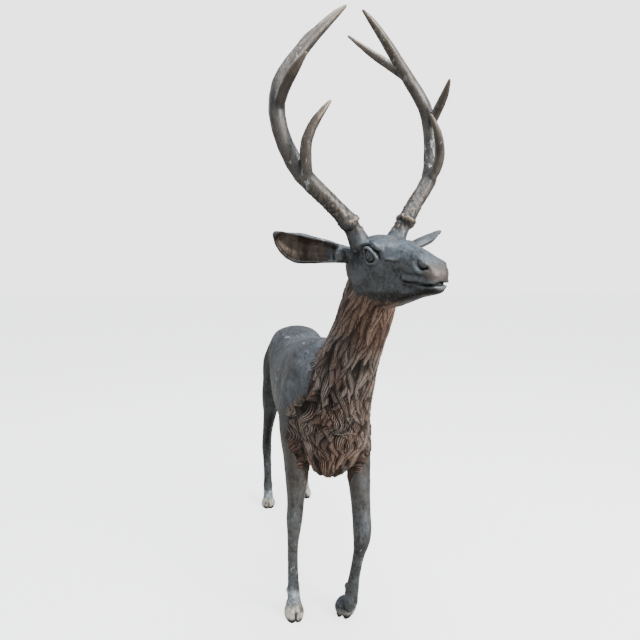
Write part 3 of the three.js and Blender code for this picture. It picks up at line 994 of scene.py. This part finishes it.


# ---- Material ----

# The patina's colours, some with painted light and painted shade in them, and pairs of colours that a noise
# blends. Skin.
SLATE = (0.094, 0.099, 0.105)
# Faces turned down: sheltered grime, darkened further as painted shade.
UNDERSIDE_GRIME_AND_SHADE = (0.010, 0.009, 0.0075)
# Faces turned up: rain-washed blue-grey, lightened further as painted light.
WASHED_AND_TOP_LIGHT = (0.072, 0.085, 0.101)
WASHED_AND_TOP_LIGHT_FACE = (0.090, 0.120, 0.154)
# The face's sides: a lighter tone that is painted light.
CHEEK_SIDE_LIGHT = (0.135, 0.147, 0.160)
LEG = (0.128, 0.127, 0.124)
DARK_CLOUD = (0.024, 0.026, 0.029)
# Blue-grey cloudy patina on faces turned up, with a painted bluish sheen of the sky.
BLUE_CLOUD_AND_SKY_SHEEN = (0.120, 0.142, 0.166)
EARTH = (0.066, 0.058, 0.050)
PALE_GRAIN = (0.145, 0.155, 0.166)
DARK_GRAIN = (0.014, 0.013, 0.013)
PALE_SMEAR = (0.150, 0.172, 0.195)
DARK_SMEAR = (0.016, 0.016, 0.017)
PALE_HAIR = (0.155, 0.160, 0.165)
BROWN = (0.098, 0.080, 0.068)
WORN_EDGE = (0.200, 0.212, 0.225)
NOSE = (0.118, 0.088, 0.068)
# Pale for the clean tear streak and for the painted highlight over the tear duct.
CLEAN_STREAK_AND_HIGHLIGHT = (0.420, 0.450, 0.470)
# Soot, with painted shade under things.
SOOT_AND_UNDERSIDE_SHADE = (0.009, 0.008, 0.007)
# Painted shade for the hindquarters.
HINDQUARTER_SHADE = (0.006, 0.006, 0.006)
HOLLOW_DARK = (0.010, 0.009, 0.009)
CREVICE = (0.006, 0.004, 0.003)
# Mane.
LOCK_TONES = ((0.050, 0.038, 0.033), (0.118, 0.092, 0.080))
RUST = (0.150, 0.068, 0.040)
# Painted highlights for the crests of the locks.
PAINTED_LOCK_SHINE = (0.430, 0.352, 0.308)
PAINTED_WARM_LOCK_SHINE = (0.450, 0.312, 0.240)
PALE_STRAND = (0.400, 0.320, 0.275)
DARK_STRAND = (0.010, 0.007, 0.005)
MANE_HOLLOW = (0.005, 0.003, 0.0025)
# Antlers and ears.
HORN_TONES = ((0.044, 0.043, 0.044), (0.118, 0.114, 0.112))
HORN_GRAIN = (0.020, 0.019, 0.020)
# Tan for rubbed antler edges, with a painted warm rim highlight.
HORN_EDGE_RUB_AND_RIM_LIGHT = (0.300, 0.235, 0.180)
# Painted shade for antler faces turned down.
HORN_UNDERSIDE_SHADE = (0.018, 0.016, 0.015)
EAR_TONES = ((0.026, 0.019, 0.015), (0.090, 0.070, 0.058))
# Hooves, chalk and splashes.
CHALK_TONES = ((0.230, 0.275, 0.310), (0.520, 0.590, 0.640))
NAIL_TONES = ((0.290, 0.268, 0.235), (0.760, 0.710, 0.600))
HOOF_DIRT = (0.050, 0.045, 0.040)
SOLE = (0.014, 0.012, 0.011)
SPECK = (0.520, 0.550, 0.580)
SCRATCH = (0.420, 0.450, 0.480)
DRIP = (0.330, 0.350, 0.370)


class Nodes:
    """Short calls for building a material's node tree."""

    def __init__(self, material):
        self.tree = material.node_tree
        self.links = self.tree.links

    def join(self, socket, value):
        """Links a node's output to a socket, or sets it to a number or a colour."""
        if isinstance(value, tuple):
            socket.default_value = (*value, 1)
        elif isinstance(value, (int, float)):
            socket.default_value = value
        else:
            self.links.new(value, socket)

    def add(self, kind, **settings):
        node = self.tree.nodes.new(kind)
        for key, value in settings.items():
            setattr(node, key, value)
        return node

    def mask(self, name):
        return self.add("ShaderNodeAttribute", attribute_name=name).outputs["Fac"]

    def noise(self, scale, detail=4, stretch=(1, 1, 1), rough=0.55, twist=0.0):
        mapping = self.add("ShaderNodeMapping")
        put(mapping, {"Scale": stretch})
        self.links.new(self.add("ShaderNodeTexCoord").outputs["Object"], mapping.inputs["Vector"])
        node = self.add("ShaderNodeTexNoise")
        self.links.new(mapping.outputs["Vector"], node.inputs["Vector"])
        put(node, {"Scale": scale, "Detail": detail, "Roughness": rough, "Distortion": twist})
        return node.outputs["Fac"]

    def ramp(self, value, low, high, start=0.0, end=1.0):
        node = self.add("ShaderNodeMapRange")
        self.links.new(value, node.inputs["Value"])
        put(node, {"From Min": low, "From Max": high, "To Min": start, "To Max": end})
        return node.outputs["Result"]

    def math(self, kind, a, b, clamp=True):
        node = self.add("ShaderNodeMath", operation=kind)
        node.use_clamp = clamp
        self.join(node.inputs[0], a)
        self.join(node.inputs[1], b)
        return node.outputs["Value"]

    def times(self, a, b):
        return self.math("MULTIPLY", a, b)

    def larger(self, a, b):
        return self.math("MAXIMUM", a, b)

    def mix(self, factor, first, second):
        node = self.add("ShaderNodeMix", data_type="RGBA")
        self.join(node.inputs["Factor"], factor)
        self.join(node.inputs["A"], first)
        self.join(node.inputs["B"], second)
        return node.outputs["Result"]

    def cover(self, under, over, value, low, high, most=1.0):
        """Lays a colour over another where a value goes from low to high, and never more than most."""
        return self.mix(self.ramp(value, low, high, 0, most), under, over)

    def stain(self, under, over, name, share):
        """Lays a share of a colour over another where a mask says."""
        return self.mix(self.times(self.mask(name), share), under, over)

    def bump(self, height, strength, distance, under=None):
        node = self.add("ShaderNodeBump")
        put(node, {"Strength": strength, "Distance": distance})
        self.links.new(height, node.inputs["Height"])
        if under is not None:
            self.links.new(under, node.inputs["Normal"])
        return node.outputs["Normal"]


def skin_colour(n, hollow, edge, short_hair):
    """Slate: rain-washed and blue-grey where it faces up, with painted light there, sooty brown with painted
    shade underneath, painted shade on the hindquarters, broad cloudy patches, fine mottling and worn pale
    edges."""
    facing_up_light_and_wash = n.math("ADD", n.mask("facing_up_light_and_wash"), n.ramp(n.noise(7, 5), 0.30, 0.70, -0.10, 0.10), clamp=False)
    # Painted shade on faces turned down and painted light on faces turned up, along with the real grime and
    # rain-washing.
    skin = n.mix(n.ramp(facing_up_light_and_wash, 0.10, 0.44), UNDERSIDE_GRIME_AND_SHADE, SLATE)
    # Painted light on the sides of the face.
    skin = n.mix(n.times(n.mask("face"), n.ramp(facing_up_light_and_wash, 0.20, 0.46, 0, 0.80)), skin, CHEEK_SIDE_LIGHT)
    skin = n.stain(skin, LEG, "leg", 0.90)
    # Rain-washing with painted light where the skin faces up.
    skin = n.cover(skin, n.mix(n.mask("face"), WASHED_AND_TOP_LIGHT, WASHED_AND_TOP_LIGHT_FACE), facing_up_light_and_wash, 0.56, 0.98)
    skin = n.cover(skin, DARK_CLOUD, n.noise(5, 5), 0.47, 0.62, 0.60)
    # Cloudy blue-grey patina where the skin faces up, with a painted bluish sheen.
    cloud = n.ramp(n.noise(6.5, 6, (1, 1, 0.7), 0.6), 0.51, 0.66)
    skin = n.mix(n.times(cloud, n.ramp(facing_up_light_and_wash, 0.42, 0.70, 0, 0.55)), skin, BLUE_CLOUD_AND_SKY_SHEEN)
    skin = n.cover(skin, EARTH, n.noise(11, 6, (1, 0.6, 0.6), 0.65), 0.50, 0.66, 0.45)
    skin = n.cover(skin, PALE_GRAIN, n.noise(90, 6, rough=0.75), 0.50, 0.66, 0.60)
    skin = n.cover(skin, DARK_GRAIN, n.noise(75, 6, rough=0.75), 0.50, 0.62, 0.62)
    smears = n.noise(26, 5, (1, 0.30, 0.70), 0.65, 0.4)
    skin = n.cover(skin, PALE_SMEAR, smears, 0.54, 0.65, 0.62)
    skin = n.cover(skin, DARK_SMEAR, smears, 0.46, 0.34, 0.70)
    skin = n.cover(skin, PALE_HAIR, short_hair, 0.56, 0.70, 0.45)
    skin = n.stain(skin, BROWN, "brown", n.ramp(n.noise(30, 5), 0.34, 0.62, 0.15, 0.75))
    skin = n.mix(n.times(edge, 0.45), skin, WORN_EDGE)
    skin = n.stain(skin, NOSE, "nose", 0.66)
    # A pale tear streak, and a painted highlight along the ridge over the tear duct.
    skin = n.stain(skin, CLEAN_STREAK_AND_HIGHLIGHT, "stain", n.ramp(n.noise(60, 4), 0.35, 0.55))
    # Soot with painted shade where the skin faces down.
    skin = n.cover(skin, SOOT_AND_UNDERSIDE_SHADE, facing_up_light_and_wash, 0.32, 0.08, 0.65)
    # Painted shade over the hindquarters.
    skin = n.stain(skin, HINDQUARTER_SHADE, "hindquarter_shade", 0.82)
    skin = n.mix(n.times(hollow, 0.80), skin, HOLLOW_DARK)
    return n.stain(skin, CREVICE, "crease", 0.96)


def mane_colour(n, hollow, hairs):
    """Black and rust in the valleys, greyish tan on the locks with a painted highlight on their crests,
    warmer at the throat and brisket.
    """
    height = n.mask("lock")
    lock = n.mix(n.ramp(n.mask("tone"), 0.15, 0.85), *LOCK_TONES)
    warm = n.larger(n.mask("throat"), n.ramp(n.noise(13, 5), 0.46, 0.62, 0, 0.90))
    lock = n.mix(n.times(warm, 0.50), lock, RUST)
    # Painted highlight on the crests of the locks.
    lock = n.cover(lock, n.mix(warm, PAINTED_LOCK_SHINE, PAINTED_WARM_LOCK_SHINE), height, 0.46, 0.84, 0.75)
    lock = n.cover(lock, PALE_STRAND, hairs, 0.56, 0.70, 0.35)
    lock = n.cover(lock, DARK_STRAND, hairs, 0.48, 0.38, 0.40)
    valley = n.times(n.ramp(height, 0.54, 0.24, 0, 0.97), n.ramp(n.mask("neck"), 0, 1, 1.0, 0.72))
    lock = n.mix(valley, lock, CREVICE)
    return n.mix(n.times(hollow, 0.85), lock, MANE_HOLLOW)


def antler_colour(n, edge):
    """Grey, with dark grain, tan rubbed edges that carry a painted warm rim highlight, and painted shade
    underneath.
    """
    horn = n.mix(n.ramp(n.noise(7, 4), 0.38, 0.62), *HORN_TONES)
    horn = n.cover(horn, HORN_GRAIN, n.noise(60, 4, (1, 1, 0.2)), 0.47, 0.64, 0.60)
    # Rubbed tan edges with a painted warm rim highlight.
    horn = n.mix(n.times(edge, 0.60), horn, HORN_EDGE_RUB_AND_RIM_LIGHT)
    # Painted shade where the antlers face down.
    return n.cover(horn, HORN_UNDERSIDE_SHADE, n.mask("facing_up_light_and_wash"), 0.45, 0.10, 0.45)


def feet_over(n, colour):
    """Lays the chalky bloom of the pasterns, the cream hooves and their dark soles over a colour."""
    bloom = n.mix(n.ramp(n.noise(60, 4), 0.40, 0.60), *CHALK_TONES)
    colour = n.stain(colour, bloom, "chalk", n.ramp(n.noise(45, 4), 0.34, 0.52))
    nail = n.mix(n.ramp(n.noise(50, 4, (1, 1, 0.35)), 0.40, 0.62), *NAIL_TONES)
    nail = n.cover(nail, HOOF_DIRT, n.noise(75, 4, (1, 1, 0.22)), 0.52, 0.64, 0.75)
    colour = n.mix(n.mask("hoof"), colour, nail)
    return n.mix(n.mask("sole"), colour, SOLE)


def splashes_over(n, colour):
    """Lays small pale specks, scratches and thin drips over a colour."""
    patches = n.ramp(n.noise(6, 3), 0.50, 0.62)
    plain = n.larger(n.larger(n.mask("face"), n.mask("ear_inside")), n.mask("hind"))
    specks = n.times(n.ramp(n.noise(120, 2), 0.68, 0.73, 0, 0.80), n.ramp(plain, 0, 1, 0.9, 0.15))
    colour = n.mix(n.times(specks, patches), colour, SPECK)
    scratches = n.times(n.ramp(n.noise(85, 2, (1, 0.18, 0.50)), 0.61, 0.68), patches)
    scratches = n.times(scratches, n.ramp(plain, 0, 1, 1.0, 0.25))
    off_mane = n.ramp(n.mask("mane"), 0.5, 0.0, 0, 0.7)
    colour = n.mix(n.times(scratches, off_mane), colour, SCRATCH)
    drips = n.times(n.ramp(n.noise(42, 2, (1, 1, 0.12)), 0.66, 0.72), n.ramp(n.noise(4, 2), 0.50, 0.60))
    return n.mix(n.times(drips, 0.35), colour, DRIP)


def bronze_patina_and_painted_light():
    material = bpy.data.materials.new("bronze_patina_and_painted_light")
    material.use_nodes = True
    n = Nodes(material)
    surface = n.tree.nodes["Principled BSDF"].inputs
    surface["Specular IOR Level"].default_value = 0.24
    cavity = n.mask("cavity")
    hollow = n.ramp(cavity, 0.50, 0.80)
    edge = n.ramp(cavity, 0.46, 0.25)
    short_hair = n.noise(150, 3, (1, 0.30, 0.42), 0.6)
    hairs = n.noise(330, 3, (1, 1, 0.14), 0.6, 0.2)

    colour = skin_colour(n, hollow, edge, short_hair)
    colour = n.mix(n.mask("mane"), colour, mane_colour(n, hollow, hairs))
    colour = n.mix(n.mask("antler"), colour, antler_colour(n, edge))
    ear = n.mix(n.ramp(n.noise(30, 4, (1, 1, 0.3)), 0.40, 0.62), *EAR_TONES)
    colour = n.mix(n.mask("ear_inside"), colour, ear)
    n.join(surface["Base Color"], splashes_over(n, feet_over(n, colour)))

    chalky = n.larger(n.mask("chalk"), n.mask("hoof"))
    dull = n.larger(n.mask("mane"), chalky)
    gloss = n.ramp(n.noise(14, 5), 0.35, 0.70, 0.34, 0.56)
    n.join(surface["Roughness"], n.math("ADD", gloss, n.times(dull, 0.08)))
    metal = n.math("SUBTRACT", 0.55, n.times(n.mask("mane"), 0.25))
    n.join(surface["Metallic"], n.math("SUBTRACT", metal, chalky))

    # Casting skin: fine pitting everywhere, coarser grain, and the hair of the coat and the mane.
    pits = n.bump(n.noise(260, 5), 0.35, 0.0012)
    grain = n.bump(n.noise(75, 4, (1, 1, 0.35)), 0.45, 0.0035, pits)
    coat = n.times(short_hair, n.ramp(n.mask("face"), 0, 1, 0.75, 0.30))
    n.join(surface["Normal"], n.bump(n.mix(n.mask("mane"), coat, hairs), 0.6, 0.0018, grain))
    return material


# ---- The stag ----

def refine(skin):
    """Splits the faces of the mane, the eyes, the nose and the mouth in four."""
    mesh = skin.data
    points = points_of(mesh) - DATUM
    where = region_masks(points)
    head = to_head(points)
    eyes = np.linalg.norm((np.abs(head) - EYE) * [0.7, 1, 1], axis=1) < 0.042
    fine = (where["mane"] > 0.2) | ((eyes | (head[:, 1] > 0.095)) & (where["face"] > 0.5))
    picked = np.array([fine[list(p.vertices)].any() for p in mesh.polygons])
    mesh.polygons.foreach_set("select", picked)
    bpy.context.view_layer.objects.active = skin
    bpy.ops.object.mode_set(mode="EDIT")
    bpy.ops.mesh.subdivide(number_cuts=1)
    bpy.ops.object.mode_set(mode="OBJECT")


def triangles_of(mesh):
    return sum(len(p.vertices) - 2 for p in mesh.polygons)


def make_stag():
    skin = rough_skin()
    soften(skin.data, Neighbours(skin.data))
    refine(skin)
    near = Neighbours(skin.data)
    sculpt(skin.data, near)
    dense, hollows = points_of(skin.data), cavities(skin.data, near)
    dense_triangles = triangles_of(skin.data)
    thin = skin.modifiers.new("thin", "DECIMATE")
    thin.ratio = min(1.0, MOST_TRIANGLES / dense_triangles)
    apply_modifiers(skin)
    set_points(skin.data, np.clip(points_of(skin.data), CAD_BOX[0], CAD_BOX[1]))
    paint_masks(skin.data, nearest_values(points_of(skin.data), dense, hollows))
    skin.data.materials.clear()
    skin.data.materials.append(bronze_patina_and_painted_light())
    skin.data.polygons.foreach_set("use_smooth", [True] * len(skin.data.polygons))
    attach(skin, "root")
    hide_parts("deer")
    print("stag triangles", triangles_of(skin.data), "from", dense_triangles)


make_camera()
make_floor()
make_sky()
for light in LIGHTS:
    make_light(*light)
make_stag()
